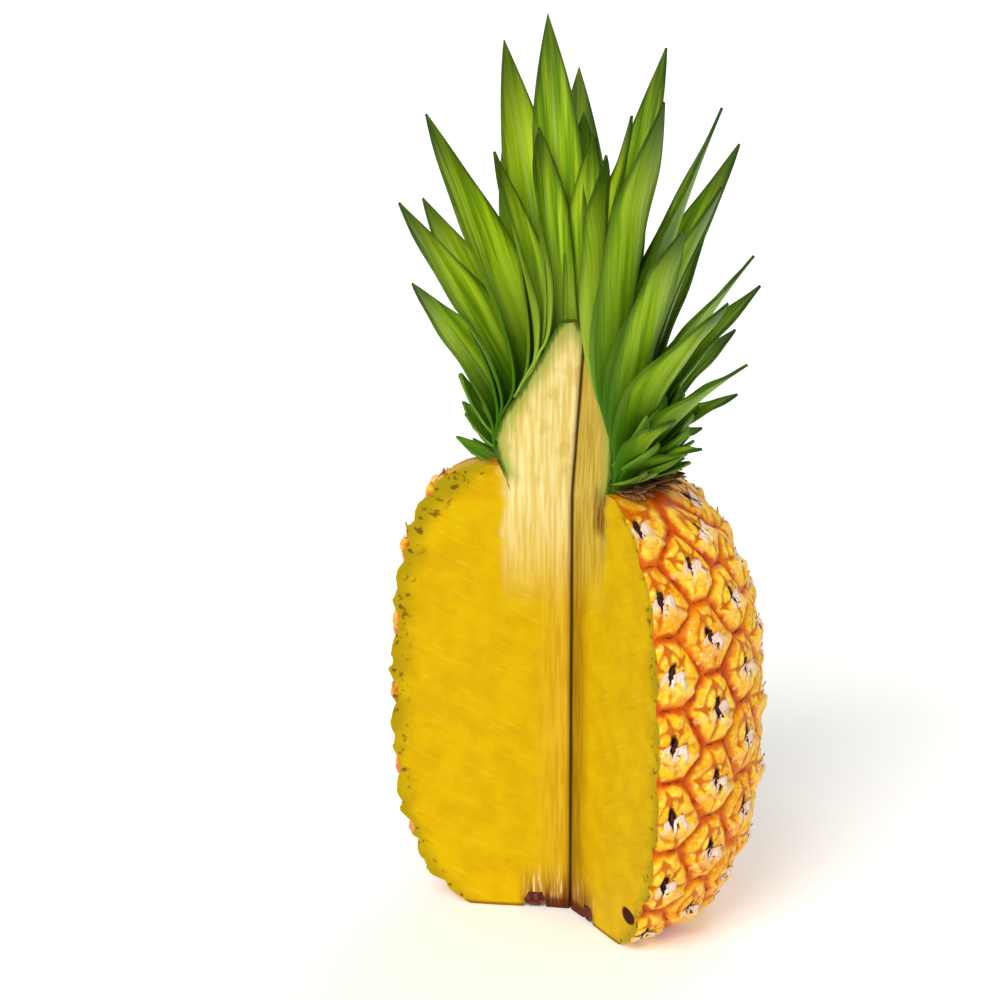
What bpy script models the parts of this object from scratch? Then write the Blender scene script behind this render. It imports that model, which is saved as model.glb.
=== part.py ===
"""A pineapple with its crown, standing on its flat base, with a lengthwise wedge cut out down to the heart.

Each sub-part is one closed solid: the fruit, the heart of the crown and every leaf.
Metres, +Z up. The origin is on the fruit's axis, at the height of the base. The cut wedge opens towards -Y.
"""

import math

import bmesh
import bpy
import numpy as np
from mathutils import Vector

COLLECTION_NAME = "cut_pineapple"
CUTTER_COLLECTION_NAME = "cutters"

# Fruit: a barrel with full shoulders, measured under the eyes. Its top is a little askew.
FRUIT_RADIUS = 0.0562
WIDEST_HEIGHT = 0.066
LOWER_REACH = 0.074
LOWER_POWER = 2.6
UPPER_REACH = 0.084
UPPER_POWER = 2.9
SHOULDER_HEIGHT = 0.1455
BASE_RING_POINTS = 21
SHOULDER_RING_POINTS = 18
SKEW_FROM = 0.080
TOP_SHIFT = 0.0020
TOP_TILT = math.radians(4)

# Base: the end of the stem, with a groove round it where it was broken off.
GROOVE_INNER_RADIUS = 0.0092
GROOVE_OUTER_RADIUS = 0.0165
GROOVE_DEPTH = 0.005
GROOVE_STEPS = 40

# Eyes: they follow one spiral up the fruit, so that every 21st stands above the first.
EYE_TURN = math.tau * 8 / 21
FIRST_EYE_ANGLE = math.radians(25.7)
EYE_RISE = 0.00112
EYE_CROWDING = 0.3
FIRST_EYE = 0.009
LAST_EYE_MARGIN = 0.006
EYE_HEIGHT = 0.0026
EYE_ROUNDNESS = 2.4
EYE_POINT = 0.0012
EYE_CUTS = 4
EYE_FADE = 0.010

# Wedge: its two faces, as directions from the heart in plan. It ends a little in front of the axis.
RIGHT_FACE_ANGLE = math.radians(-63)
LEFT_FACE_ANGLE = math.radians(-188)
APEX_OFFSET = 0.0025
WEDGE_REACH = 0.20
WEDGE_BELOW = 0.16
WEDGE_ABOVE = 0.20
CUT_LEAN_IN_CROWN = math.radians(4)

# Crown: the heart is the stub of stem with the leaf bases grown round it, seated in a hollow of the fruit.
SEAT_HEIGHT = 0.1390
SEAT_RADIUS = 0.0212
SEAT_FLARE = 0.45
CROWN_LEAN = math.radians(-2.7)
HEART_PROFILE = (
    (0.1393, 0.0204),
    (0.1450, 0.0226),
    (0.1510, 0.0242),
    (0.1570, 0.0246),
    (0.1630, 0.0228),
    (0.1700, 0.0180),
    (0.1780, 0.0124),
    (0.1860, 0.0077),
    (0.1940, 0.0032),
)
HEART_STEPS = 48

# Leaves: one spiral from the short, spreading ones at the foot of the crown to the long, upright ones at its top.
LEAF_COUNT = 63
LEAF_TURN = math.radians(-137.508)
FIRST_LEAF_ANGLE = math.radians(17.4)
LEAF_STRAY = math.radians(7)
LEAF_STRAY_BEAT = (3.418, -0.492)
LENGTH_STRAY = 0.08
LENGTH_STRAY_BEAT = (3.014, -0.839)
LEAF_THICKNESS = 0.0009
LEAF_CLEARANCE = 0.0010
LEAF_FOOT = 0.1482
LEAF_CLIMB = 0.0366
LEAF_CLIMB_POWER = 1.3
LEAF_CELLS_ACROSS = 4
LEAF_CELLS_ALONG = 7
SHORTEST_LEAF = 0.0192
LONGEST_LEAF = 0.0982
LONGEST_LEAF_RANK = 0.715
INNER_LEAF_LOSS = 0.026
INNER_LEAVES_FROM = 0.22
INNER_LEAVES_FADE = 0.4
TALLEST_LEAF_PLACE = 57
TALLEST_LEAF = 0.1055
NARROWEST_HALF_WIDTH = 0.0045
WIDEST_HALF_WIDTH = 0.0112
WIDEST_LEAF_RANK = 0.6
LARGEST_WRAP = math.radians(43)
SPREAD_AT_FOOT = math.radians(58.5)
SPREAD_AT_TOP = math.radians(0)
SPREAD_POWER = 1.33
BEND_AT_FOOT = math.radians(16)
BEND_AT_TOP = math.radians(3)
CHANNEL_DEPTH = 0.0012
SMALLEST_KEPT_SHARE = 0.28

RIND_COLOUR = (0.80, 0.36, 0.03, 1.0)
HEART_COLOUR = (0.78, 0.66, 0.28, 1.0)
LEAF_COLOUR = (0.10, 0.27, 0.02, 1.0)


def clear_scene():
    for old in list(bpy.data.objects):
        bpy.data.objects.remove(old, do_unlink=True)


def new_collection(name):
    collection = bpy.data.collections.new(name)
    bpy.context.scene.collection.children.link(collection)
    return collection


def make_material(name, colour, roughness):
    material = bpy.data.materials.new(name)
    material.use_nodes = True
    shader = material.node_tree.nodes["Principled BSDF"]
    shader.inputs["Base Color"].default_value = colour
    shader.inputs["Roughness"].default_value = roughness
    shader.inputs["Metallic"].default_value = 0.0
    return material


def add_object(name, mesh, collection, material=None):
    obj = bpy.data.objects.new(name, mesh)
    collection.objects.link(obj)
    if material:
        mesh.materials.append(material)
    return obj


def cut(obj, cutter):
    """Takes the cutter's shape out of the object."""
    modifier = obj.modifiers.new(f"cut_by_{cutter.name}", "BOOLEAN")
    modifier.operation = "DIFFERENCE"
    modifier.object = cutter
    modifier.solver = "EXACT"


def as_cutter(obj):
    obj.hide_render = True
    obj.display_type = "WIRE"
    return obj


def barrel_radius(height):
    """Radius of the fruit under its eyes, at a height."""
    below = np.clip((WIDEST_HEIGHT - height) / LOWER_REACH, 0, 1)
    above = np.clip((height - WIDEST_HEIGHT) / UPPER_REACH, 0, 1)
    lower = (1 - below**LOWER_POWER) ** (1 / LOWER_POWER)
    upper = (1 - above**UPPER_POWER) ** (1 / UPPER_POWER)
    return FRUIT_RADIUS * np.minimum(lower, upper)


def barrel_normal(height):
    """Outward normal of the barrel in its (radius, height) plane."""
    step = 0.0002
    slope = (barrel_radius(height + step) - barrel_radius(height - step)) / (2 * step)
    length = np.hypot(1, slope)
    return 1 / length, -slope / length


def smooth_rise(share):
    share = np.clip(share, 0.0, 1.0)
    return share * share * (3 - 2 * share)


def set_askew(points):
    """Moves the upper end of the fruit a little to the left and tips it to the right."""
    askew = smooth_rise((points[:, 2] - SKEW_FROM) / (SHOULDER_HEIGHT - SKEW_FROM))
    points[:, 0] -= TOP_SHIFT * askew
    points[:, 2] -= math.tan(TOP_TILT) * points[:, 0] * askew
    return points


def eye_centres():
    """Centres of the eyes on the barrel: a steady turn, and a steady rise along its side."""
    heights = np.linspace(0, SHOULDER_HEIGHT, 400)
    radii = barrel_radius(heights)
    along_side = np.concatenate([[0], np.cumsum(np.hypot(np.diff(heights), np.diff(radii)))])
    last = along_side[-1] - LAST_EYE_MARGIN
    centres = []
    along = FIRST_EYE
    while along < last:
        height = np.interp(along, along_side, heights)
        radius = barrel_radius(height)
        angle = FIRST_EYE_ANGLE + EYE_TURN * len(centres)
        centres.append((radius * math.cos(angle), radius * math.sin(angle), height))
        along += EYE_RISE * (radius / FRUIT_RADIUS) ** EYE_CROWDING
    return np.array(centres)


def ring(radius, height, count):
    angles = np.arange(count) * math.tau / count
    return [(radius * math.cos(a), radius * math.sin(a), height) for a in angles]


def eye_relief(points, centres):
    """Height of the rind over the barrel: a rounded pad with a point on each eye, and a groove between eyes."""
    distances = np.linalg.norm(points[:, None, :] - centres[None, :, :], axis=2)
    distances.sort(axis=1)
    nearest, second = distances[:, 0], distances[:, 1]
    across = 2 * nearest / (nearest + second)
    pad = EYE_HEIGHT * (1 - across**EYE_ROUNDNESS)
    point = EYE_POINT * np.clip(1 - 4 * across, 0, 1)
    heights = points[:, 2]
    from_ends = np.minimum(heights, SHOULDER_HEIGHT - heights)
    return (pad + point) * np.clip(from_ends / EYE_FADE, 0, 1)


def make_fruit(collection, material, groove, wedge, seat):
    """Flesh and rind in one solid: the net of eyes is laid over the barrel, pushed out and cut."""
    centres = eye_centres()
    base_ring = ring(float(barrel_radius(0.0)), 0.0, BASE_RING_POINTS)
    shoulder_ring = ring(float(barrel_radius(SHOULDER_HEIGHT)), SHOULDER_HEIGHT, SHOULDER_RING_POINTS)
    bm = bmesh.new()
    for point in [*centres, *base_ring, *shoulder_ring]:
        bm.verts.new(point)
    bmesh.ops.convex_hull(bm, input=bm.verts)
    for cap_height in (0.0, SHOULDER_HEIGHT):
        cap = [f for f in bm.faces if all(abs(v.co.z - cap_height) < 1e-6 for v in f.verts)]
        bmesh.ops.dissolve_faces(bm, faces=cap)
    bmesh.ops.subdivide_edges(bm, edges=bm.edges[:], cuts=EYE_CUTS, use_grid_fill=True)
    points = np.array([v.co for v in bm.verts])
    heights = points[:, 2]
    radii = np.hypot(points[:, 0], points[:, 1])
    on_barrel = points.copy()
    on_barrel[:, :2] *= (barrel_radius(heights) / radii)[:, None]
    relief = eye_relief(on_barrel, centres)
    outward, upward = barrel_normal(heights)
    directions = on_barrel[:, :2] / np.linalg.norm(on_barrel[:, :2], axis=1)[:, None]
    on_barrel[:, :2] += directions * (relief * outward)[:, None]
    on_barrel[:, 2] += relief * upward
    for vertex, place in zip(bm.verts, set_askew(on_barrel)):
        vertex.co = place
    bmesh.ops.recalc_face_normals(bm, faces=bm.faces[:])
    mesh = bpy.data.meshes.new("fruit")
    bm.to_mesh(mesh)
    bm.free()
    fruit = add_object("fruit", mesh, collection, material)
    for cutter in (groove, wedge, seat):
        cut(fruit, cutter)
    return fruit


def turn_profile(obj, steps):
    turn = obj.modifiers.new("turned", "SCREW")
    turn.steps = steps
    turn.render_steps = steps
    turn.use_merge_vertices = True
    turn.merge_threshold = 0.00005


def make_groove(cutters):
    """Cutter for the groove round the end of the stem."""
    inner, outer, depth = GROOVE_INNER_RADIUS, GROOVE_OUTER_RADIUS, GROOVE_DEPTH
    outline = [(inner, -depth), (outer, -depth), (outer, 0.3 * depth), (outer - 0.3 * depth, depth)]
    outline += [(inner + 0.2 * depth, 0.8 * depth), (inner, 0.2 * depth)]
    mesh = bpy.data.meshes.new("stem_groove")
    points = [(r, 0.0, z) for r, z in reversed(outline)]
    mesh.from_pydata(points, [(i, (i + 1) % len(points)) for i in range(len(points))], [])
    groove = add_object("stem_groove", mesh, cutters)
    turn_profile(groove, GROOVE_STEPS)
    return as_cutter(groove)


def make_seat(cutters, crown):
    """Cutter for the round hollow that the crown sits in, leaning with it."""
    depth = SHOULDER_HEIGHT + 0.01 - SEAT_HEIGHT
    mesh = bpy.data.meshes.new("crown_seat")
    bm = bmesh.new()
    bmesh.ops.create_cone(
        bm, cap_ends=True, segments=36, radius1=SEAT_RADIUS, radius2=SEAT_RADIUS + SEAT_FLARE * depth, depth=depth
    )
    bm.to_mesh(mesh)
    bm.free()
    seat = add_object("crown_seat", mesh, cutters)
    seat.location.z = depth / 2
    seat.parent = crown
    return as_cutter(seat)


def make_wedge(name, cutters, lean):
    """Cutter for the piece that was cut out: a tall prism with its edge in front of the axis."""
    middle = (RIGHT_FACE_ANGLE + LEFT_FACE_ANGLE) / 2
    apex = Vector((math.cos(middle), math.sin(middle), 0)) * APEX_OFFSET
    outline = [apex]
    for angle in (RIGHT_FACE_ANGLE, middle, LEFT_FACE_ANGLE):
        outline.append(apex + Vector((math.cos(angle), math.sin(angle), 0)) * WEDGE_REACH)
    mesh = bpy.data.meshes.new(name)
    bm = bmesh.new()
    floor = bm.faces.new([bm.verts.new(p - Vector((0, 0, WEDGE_BELOW))) for p in outline])
    raised = bmesh.ops.extrude_face_region(bm, geom=[floor])["geom"]
    top = [g for g in raised if isinstance(g, bmesh.types.BMVert)]
    bmesh.ops.translate(bm, verts=top, vec=(0, 0, WEDGE_ABOVE + WEDGE_BELOW))
    bmesh.ops.recalc_face_normals(bm, faces=bm.faces[:])
    bm.to_mesh(mesh)
    bm.free()
    wedge = add_object(name, mesh, cutters)
    wedge.location.z = SEAT_HEIGHT
    wedge.rotation_euler.y = lean
    return as_cutter(wedge)


def make_heart(collection, crown, material, wedge):
    """The crown's heart: a turned cone, cut by the same wedge as the fruit."""
    profile = [(0.0, HEART_PROFILE[-1][0]), *((r, z) for z, r in reversed(HEART_PROFILE))]
    profile.append((0.0, HEART_PROFILE[0][0]))
    mesh = bpy.data.meshes.new("crown_heart")
    points = [(r, 0.0, z - SEAT_HEIGHT) for r, z in profile]
    mesh.from_pydata(points, [(i, i + 1) for i in range(len(points) - 1)], [])
    heart = add_object("crown_heart", mesh, collection, material)
    turn_profile(heart, HEART_STEPS)
    heart.parent = crown
    cut(heart, wedge)
    return heart


def heart_radius(height):
    return float(np.interp(height, [z for z, r in HEART_PROFILE], [r for z, r in HEART_PROFILE]))


def stray(place, beat):
    """A small irregular difference between leaves, from -1 to 1."""
    return math.sin(beat[0] * place + beat[1])


def leaf_length(rank):
    """Length of a leaf by its rank, 0 at the crown's foot and 1 at its top. The inner ones but one are shorter."""
    place = rank * (LEAF_COUNT - 1)
    if round(place) == TALLEST_LEAF_PLACE:
        return TALLEST_LEAF
    rise = min(rank / LONGEST_LEAF_RANK, 1)
    past = max(rank - LONGEST_LEAF_RANK, 0) / (1 - LONGEST_LEAF_RANK)
    inner = float(smooth_rise((past - INNER_LEAVES_FROM) / INNER_LEAVES_FADE))
    length = SHORTEST_LEAF + (LONGEST_LEAF - SHORTEST_LEAF) * rise - INNER_LEAF_LOSS * inner
    return length * (1 + LENGTH_STRAY * stray(place, LENGTH_STRAY_BEAT))


def leaf_half_width(rank, along):
    widest = NARROWEST_HALF_WIDTH + (WIDEST_HALF_WIDTH - NARROWEST_HALF_WIDTH) * min(rank / WIDEST_LEAF_RANK, 1)
    return widest * (1 - along**1.7) * (1 + 0.35 * along)


def leaf_spine(rank, along):
    """Point of the leaf's middle line as (radius, height, lean from the vertical)."""
    foot_height = LEAF_FOOT + LEAF_CLIMB * rank**LEAF_CLIMB_POWER
    lean = SPREAD_AT_TOP + SPREAD_AT_FOOT * (1 - rank) ** SPREAD_POWER
    bend = BEND_AT_TOP + BEND_AT_FOOT * (1 - rank) ** 0.6
    reach = leaf_length(rank) / bend
    here = lean + bend * along
    radius = heart_radius(foot_height) + LEAF_CLEARANCE + reach * (math.cos(lean) - math.cos(here))
    height = foot_height + reach * (math.sin(here) - math.sin(lean))
    return radius, height, here


def wrap_limits(azimuth):
    """How far a leaf may reach to each side of its middle before it meets a face of the wedge."""
    opening = RIGHT_FACE_ANGLE - LEFT_FACE_ANGLE
    past_right_face = (azimuth - RIGHT_FACE_ANGLE) % math.tau
    return past_right_face, math.tau - opening - past_right_face


def leaf_point(rank, across, along, limits):
    """Point of the leaf: it wraps round the crown's axis, with its margins raised into a channel."""
    radius, height, lean = leaf_spine(rank, along)
    wrap = LARGEST_WRAP * math.tanh(leaf_half_width(rank, along) / (radius * LARGEST_WRAP))
    low, high = -min(wrap, limits[0]), min(wrap, limits[1])
    angle = low + (high - low) * (across + 1) / 2
    raised = CHANNEL_DEPTH * math.sin(math.pi * along) * across**2
    radius -= raised * math.cos(lean)
    height += raised * math.sin(lean)
    return Vector((radius * math.cos(angle), radius * math.sin(angle), height - SEAT_HEIGHT))


def make_leaf(number, rank, azimuth, limits, collection, crown, material):
    bpy.ops.mesh.primitive_grid_add(x_subdivisions=LEAF_CELLS_ACROSS, y_subdivisions=LEAF_CELLS_ALONG, size=2)
    leaf = bpy.context.object
    leaf.name = f"leaf_{number:02d}"
    leaf.users_collection[0].objects.unlink(leaf)
    collection.objects.link(leaf)
    mesh = leaf.data
    mesh.materials.append(material)
    for vertex in mesh.vertices:
        across, along = vertex.co.x, (vertex.co.y + 1) / 2
        vertex.co = leaf_point(rank, across, along, limits)
    bm = bmesh.new()
    bm.from_mesh(mesh)
    bmesh.ops.remove_doubles(bm, verts=bm.verts[:], dist=0.00002)
    bm.to_mesh(mesh)
    bm.free()
    thickness = leaf.modifiers.new("blade", "SOLIDIFY")
    thickness.thickness = LEAF_THICKNESS
    thickness.offset = 0.0
    leaf.rotation_euler.z = azimuth
    leaf.parent = crown
    mesh.shade_smooth()
    return leaf


def make_leaves(collection, crown, material):
    """Every leaf of the spiral whose middle stands clear of the wedge. One that the knife met ends at the cut."""
    made = []
    for place in range(LEAF_COUNT):
        rank = place / (LEAF_COUNT - 1)
        azimuth = FIRST_LEAF_ANGLE + place * LEAF_TURN + LEAF_STRAY * stray(place, LEAF_STRAY_BEAT)
        limits = wrap_limits(azimuth)
        radius = leaf_spine(rank, 0.3)[0]
        wrap = leaf_half_width(rank, 0.3) / radius
        if limits[1] < 0 or min(limits) < SMALLEST_KEPT_SHARE * min(wrap, LARGEST_WRAP):
            continue
        made.append(make_leaf(len(made) + 1, rank, azimuth, limits, collection, crown, material))
    return made


def main():
    clear_scene()
    parts = new_collection(COLLECTION_NAME)
    cutters = new_collection(CUTTER_COLLECTION_NAME)
    rind = make_material("rind", RIND_COLOUR, 0.5)
    heart = make_material("heart", HEART_COLOUR, 0.5)
    green = make_material("leaf", LEAF_COLOUR, 0.4)
    crown = bpy.data.objects.new("crown", None)
    crown.location.z = SEAT_HEIGHT
    crown.rotation_euler.y = CROWN_LEAN
    parts.objects.link(crown)
    fruit_wedge = make_wedge("fruit_wedge", cutters, 0.0)
    crown_wedge = make_wedge("crown_wedge", cutters, CUT_LEAN_IN_CROWN)
    make_fruit(parts, rind, make_groove(cutters), fruit_wedge, make_seat(cutters, crown))
    make_heart(parts, crown, heart, crown_wedge)
    make_leaves(parts, crown, green)


main()
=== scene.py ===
"""A pineapple with its crown, standing on its stem end, with a lengthwise wedge cut out down to the core."""
import math

import bmesh
import bpy
import numpy as np
from mathutils import Matrix, Vector, noise
from mathutils.kdtree import KDTree


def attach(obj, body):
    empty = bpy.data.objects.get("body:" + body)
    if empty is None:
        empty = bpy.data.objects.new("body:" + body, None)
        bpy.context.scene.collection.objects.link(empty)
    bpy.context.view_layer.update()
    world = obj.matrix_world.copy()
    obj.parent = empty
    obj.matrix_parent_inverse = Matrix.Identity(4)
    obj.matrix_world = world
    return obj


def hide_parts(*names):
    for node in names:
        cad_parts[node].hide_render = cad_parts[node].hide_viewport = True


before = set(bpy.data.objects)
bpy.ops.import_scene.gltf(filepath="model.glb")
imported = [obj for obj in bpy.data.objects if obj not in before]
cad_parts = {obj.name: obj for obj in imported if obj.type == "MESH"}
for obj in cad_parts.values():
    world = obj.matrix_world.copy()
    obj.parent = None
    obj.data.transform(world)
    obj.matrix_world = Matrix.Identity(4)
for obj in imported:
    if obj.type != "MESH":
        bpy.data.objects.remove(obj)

for loaded in bpy.context.selected_objects:
    loaded.select_set(False)

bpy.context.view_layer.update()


# The stand: a long-lens camera at a seated viewer's height, and three lamps over a white table that glows
# faintly. The picture is 1000 pixels wide, and a millimetre at the fruit's axis is 3.22 of them.
CAMERA_ELEVATION = math.radians(18)
CAMERA_DISTANCE = 1.4
AIM = Vector((-0.0239, 0.0, 0.1365))
METRES_IN_FRAME = 1 / 3.22
SENSOR_WIDTH = 36
TABLE_WHITE = "#FCFCFA"

scene = bpy.context.scene
scene.view_settings.view_transform = "Standard"


def linear(hex_colour):
    """A colour as seen on a screen, turned to the linear value that a shader takes."""
    parts = [int(hex_colour[i : i + 2], 16) / 255 for i in (1, 3, 5)]
    return (*(c / 12.92 if c <= 0.04045 else ((c + 0.055) / 1.055) ** 2.4 for c in parts), 1.0)


def make_material(name, finish):
    """A new material with the values that are the same all over its surface. Returns it and its nodes."""
    material = bpy.data.materials.new(name)
    material.use_nodes = True
    for socket, number in finish.items():
        material.node_tree.nodes["Principled BSDF"].inputs[socket].default_value = number
    return material, material.node_tree


def add_node(tree, kind, inputs=None, output=0, **settings):
    """Adds a shader node with its settings, sets or links its inputs, and returns one of its outputs."""
    node = tree.nodes.new("ShaderNode" + kind)
    for name, setting in settings.items():
        setattr(node, name, setting)
    for key, given in (inputs or {}).items():
        if isinstance(given, bpy.types.NodeSocket):
            tree.links.new(given, node.inputs[key])
        else:
            node.inputs[key].default_value = linear(given) if isinstance(given, str) else given
    return node.outputs[output]


def lay_colours(tree, colour, *layers):
    """Lays colours over a first one. Each shows as a number goes from one value to another, up to a share."""
    for number, hidden_at, full_at, share, over in layers:
        ramp = {0: number, 1: hidden_at, 2: full_at, 4: share}
        shown = add_node(tree, "MapRange", ramp, interpolation_type="SMOOTHSTEP")
        colour = add_node(tree, "Mix", {0: shown, 6: colour, 7: over}, 2, data_type="RGBA")
    return colour


def finish_surface(tree, colour, relief, strength, depth):
    """Gives a material's shader its colour, and a fine relief of a depth in metres."""
    shader = tree.nodes["Principled BSDF"]
    tree.links.new(colour, shader.inputs["Base Color"])
    bump = add_node(tree, "Bump", {"Height": relief, "Strength": strength, "Distance": depth})
    tree.links.new(bump, shader.inputs["Normal"])


bpy.ops.object.camera_add(
    location=AIM + CAMERA_DISTANCE * Vector((0, -math.cos(CAMERA_ELEVATION), math.sin(CAMERA_ELEVATION))),
    rotation=(math.pi / 2 - CAMERA_ELEVATION, 0, 0),
)
camera = bpy.context.object
camera.name = "camera"
camera.data.sensor_width = SENSOR_WIDTH
camera.data.lens = SENSOR_WIDTH * CAMERA_DISTANCE / METRES_IN_FRAME
camera.data.clip_start = 0.05
camera.data.dof.use_dof = False
scene.camera = camera

bpy.ops.mesh.primitive_plane_add(size=12, location=(0, 0, -0.0002))
table = bpy.context.object
table.name = "table"
table_paint, tree = make_material(
    "white_table",
    {
        "Base Color": linear(TABLE_WHITE),
        "Roughness": 0.7,
        "Emission Color": linear(TABLE_WHITE),
        "Emission Strength": 0.15,
    },
)
table.data.materials.append(table_paint)

for lamp_name, kind, place, size, power in (
    ("key_lamp", "SUN", (-0.55, -1.15, 1.30), math.radians(34), 2.15),
    ("fill_lamp", "AREA", (1.15, -0.95, 0.60), 0.9, 2.6),
    ("back_lamp", "AREA", (0.45, 1.1, 1.0), 0.8, 5.0),
):
    bpy.ops.object.light_add(type=kind, location=place)
    lamp = bpy.context.object
    lamp.name = lamp_name
    lamp.data.energy = power
    setattr(lamp.data, "angle" if kind == "SUN" else "size", size)
    lamp.rotation_euler = (AIM - Vector(place)).to_track_quat("-Z", "Y").to_euler()

sky = bpy.data.worlds.new("white_room")
sky.use_nodes = True
background = sky.node_tree.nodes["Background"].inputs
background["Color"].default_value = linear("#FFFFFF")
background["Strength"].default_value = 0.41
scene.world = sky


# The body: a ripe fruit, grown from many small ones, each with a six-sided eye of fleshy, waxy rind. A net of
# eyes is laid over a barrel and pushed out eye by eye. The stalk broke off below and left a groove there.
FRUIT_RADIUS = 0.0562
WIDEST_HEIGHT = 0.066
LOWER_REACH = 0.074
LOWER_POWER = 2.6
UPPER_REACH = 0.084
UPPER_POWER = 2.9
SHOULDER_HEIGHT = 0.1455
BASE_RING_POINTS = 21
SHOULDER_RING_POINTS = 18
SKEW_FROM = 0.080
TOP_SHIFT = 0.0020
TOP_TILT = math.radians(4)
EYE_TURN = math.tau * 8 / 21
FIRST_EYE_ANGLE = math.radians(25.7)
EYE_RISE = 0.00112
EYE_CROWDING = 0.3
FIRST_EYE = 0.009
LAST_EYE_MARGIN = 0.006
EYE_CUTS = 24
EYE_FADE = 0.010
EYE_SPACING = 0.021
EYE_TWIST = 0.7
PAD_HEIGHT = 0.0029
BRACT_HEIGHT = 0.0011
SEAM_ANGLES = (-0.25, 0.85, 1.75, 3.10, 4.60)
SEAM_DEPTH = 0.0007
PIT_DEPTH = 0.0019
WRINKLE_HEIGHT = 0.00018
LUMP_HEIGHT = 0.00045
LUMP_SIZE = 0.0042
GRIT_HEIGHT = 0.0002
GRIT_SIZE = 0.0013
GROOVE_INNER_RADIUS = 0.0092
GROOVE_OUTER_RADIUS = 0.0165
GROOVE_DEPTH = 0.005
GROOVE_MARGIN = 0.0005
RIGHT_FACE_ANGLE = math.radians(-63)
LEFT_FACE_ANGLE = math.radians(-188)
CUT_MIDDLE = (RIGHT_FACE_ANGLE + LEFT_FACE_ANGLE) / 2
CUT_OPENING = RIGHT_FACE_ANGLE - LEFT_FACE_ANGLE
APEX_OFFSET = 0.0025


def barrel_radius(height):
    below = np.clip((WIDEST_HEIGHT - height) / LOWER_REACH, 0, 1)
    above = np.clip((height - WIDEST_HEIGHT) / UPPER_REACH, 0, 1)
    lower = (1 - below**LOWER_POWER) ** (1 / LOWER_POWER)
    upper = (1 - above**UPPER_POWER) ** (1 / UPPER_POWER)
    return FRUIT_RADIUS * np.minimum(lower, upper)


def smooth_rise(share):
    share = np.clip(share, 0.0, 1.0)
    return share * share * (3 - 2 * share)


def set_askew(points):
    """Moves the upper end of the fruit a little to the left and tips it to the right."""
    askew = smooth_rise((points[:, 2] - SKEW_FROM) / (SHOULDER_HEIGHT - SKEW_FROM))
    points[:, 0] -= TOP_SHIFT * askew
    points[:, 2] -= math.tan(TOP_TILT) * points[:, 0] * askew
    return points


def find_eye_centres():
    """One spiral of eyes up the side of the barrel, so that every 21st stands above the first."""
    heights = np.linspace(0, SHOULDER_HEIGHT, 400)
    radii = barrel_radius(heights)
    along_side = np.concatenate([[0], np.cumsum(np.hypot(np.diff(heights), np.diff(radii)))])
    centres = []
    along = FIRST_EYE
    while along < along_side[-1] - LAST_EYE_MARGIN:
        height = np.interp(along, along_side, heights)
        radius = barrel_radius(height)
        angle = FIRST_EYE_ANGLE + EYE_TURN * len(centres)
        centres.append((radius * math.cos(angle), radius * math.sin(angle), height))
        along += EYE_RISE * (radius / FRUIT_RADIUS) ** EYE_CROWDING
    return np.array(centres)


def level_reach(points):
    """How far points are from the upright axis, measured level."""
    return np.hypot(points[:, 0], points[:, 1])


def bring_to_barrel(points):
    """Moves points level until they lie on the barrel."""
    points[:, :2] *= (barrel_radius(points[:, 2]) / level_reach(points))[:, None]
    return points


def barrel_frames(points):
    """Unit vectors along the ground, up the side and outwards at points on the barrel."""
    step = 0.0002
    slope = (barrel_radius(points[:, 2] + step) - barrel_radius(points[:, 2] - step)) / (2 * step)
    slope = np.clip(slope, -6, 6)[:, None]
    outward = points[:, :2] / level_reach(points)[:, None]
    across = np.stack([-outward[:, 1], outward[:, 0], np.zeros(len(points))], axis=1)
    out = np.concatenate([outward, -slope], axis=1) / np.hypot(1, slope)
    return across, np.cross(out, across), out


def read_points(mesh):
    flat = np.empty(len(mesh.vertices) * 3)
    mesh.vertices.foreach_get("co", flat)
    return flat.reshape(-1, 3)


def write_points(mesh, points):
    mesh.vertices.foreach_set("co", points.ravel())
    mesh.update()


def write_values(mesh, **values):
    """Keeps a number for each vertex, or one for them all, under a name that a material reads."""
    for name, numbers in values.items():
        spread = np.full(len(mesh.vertices), numbers, dtype=np.float32)
        mesh.attributes.new(name, "FLOAT", "POINT").data.foreach_set("value", spread)


def edit_all(step, **settings):
    """Does one step of edit mode to the whole mesh."""
    bpy.ops.object.mode_set(mode="EDIT")
    bpy.ops.mesh.select_all(action="SELECT")
    step(**settings)
    bpy.ops.object.mode_set(mode="OBJECT")


def select_faces(mesh, chosen):
    """Selects only the faces that a rule chooses by centre and normal, for the next step in edit mode."""
    bpy.ops.object.mode_set(mode="OBJECT")
    for kind in (mesh.vertices, mesh.edges):
        kind.foreach_set("select", [False] * len(kind))
    mesh.polygons.foreach_set("select", [bool(chosen(f.center, f.normal)) for f in mesh.polygons])
    bpy.ops.object.mode_set(mode="EDIT")


def roughness_at(points, size):
    """Soft lumps of about a size, from -1 to 1."""
    return np.array([noise.noise(Vector(p) / size) for p in points])


def face_normals_of_cut():
    """Horizontal unit vectors that point from each cut face into the cut."""
    right, left = RIGHT_FACE_ANGLE - math.pi / 2, LEFT_FACE_ANGLE + math.pi / 2
    return np.array([[math.cos(right), math.sin(right)], [math.cos(left), math.sin(left)]])


def inside_fruit(points):
    """How far points lie outside the wedge that was cut out. It is negative inside the wedge."""
    apex = APEX_OFFSET * np.array([math.cos(CUT_MIDDLE), math.sin(CUT_MIDDLE)])
    return (-(points[:, :2] - apex) @ face_normals_of_cut().T).max(axis=1)


def make_finder(points):
    """Finds which of the points are nearest to a place."""
    finder = KDTree(len(points))
    for number, point in enumerate(points):
        finder.insert(point, number)
    finder.balance()
    return finder


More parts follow.
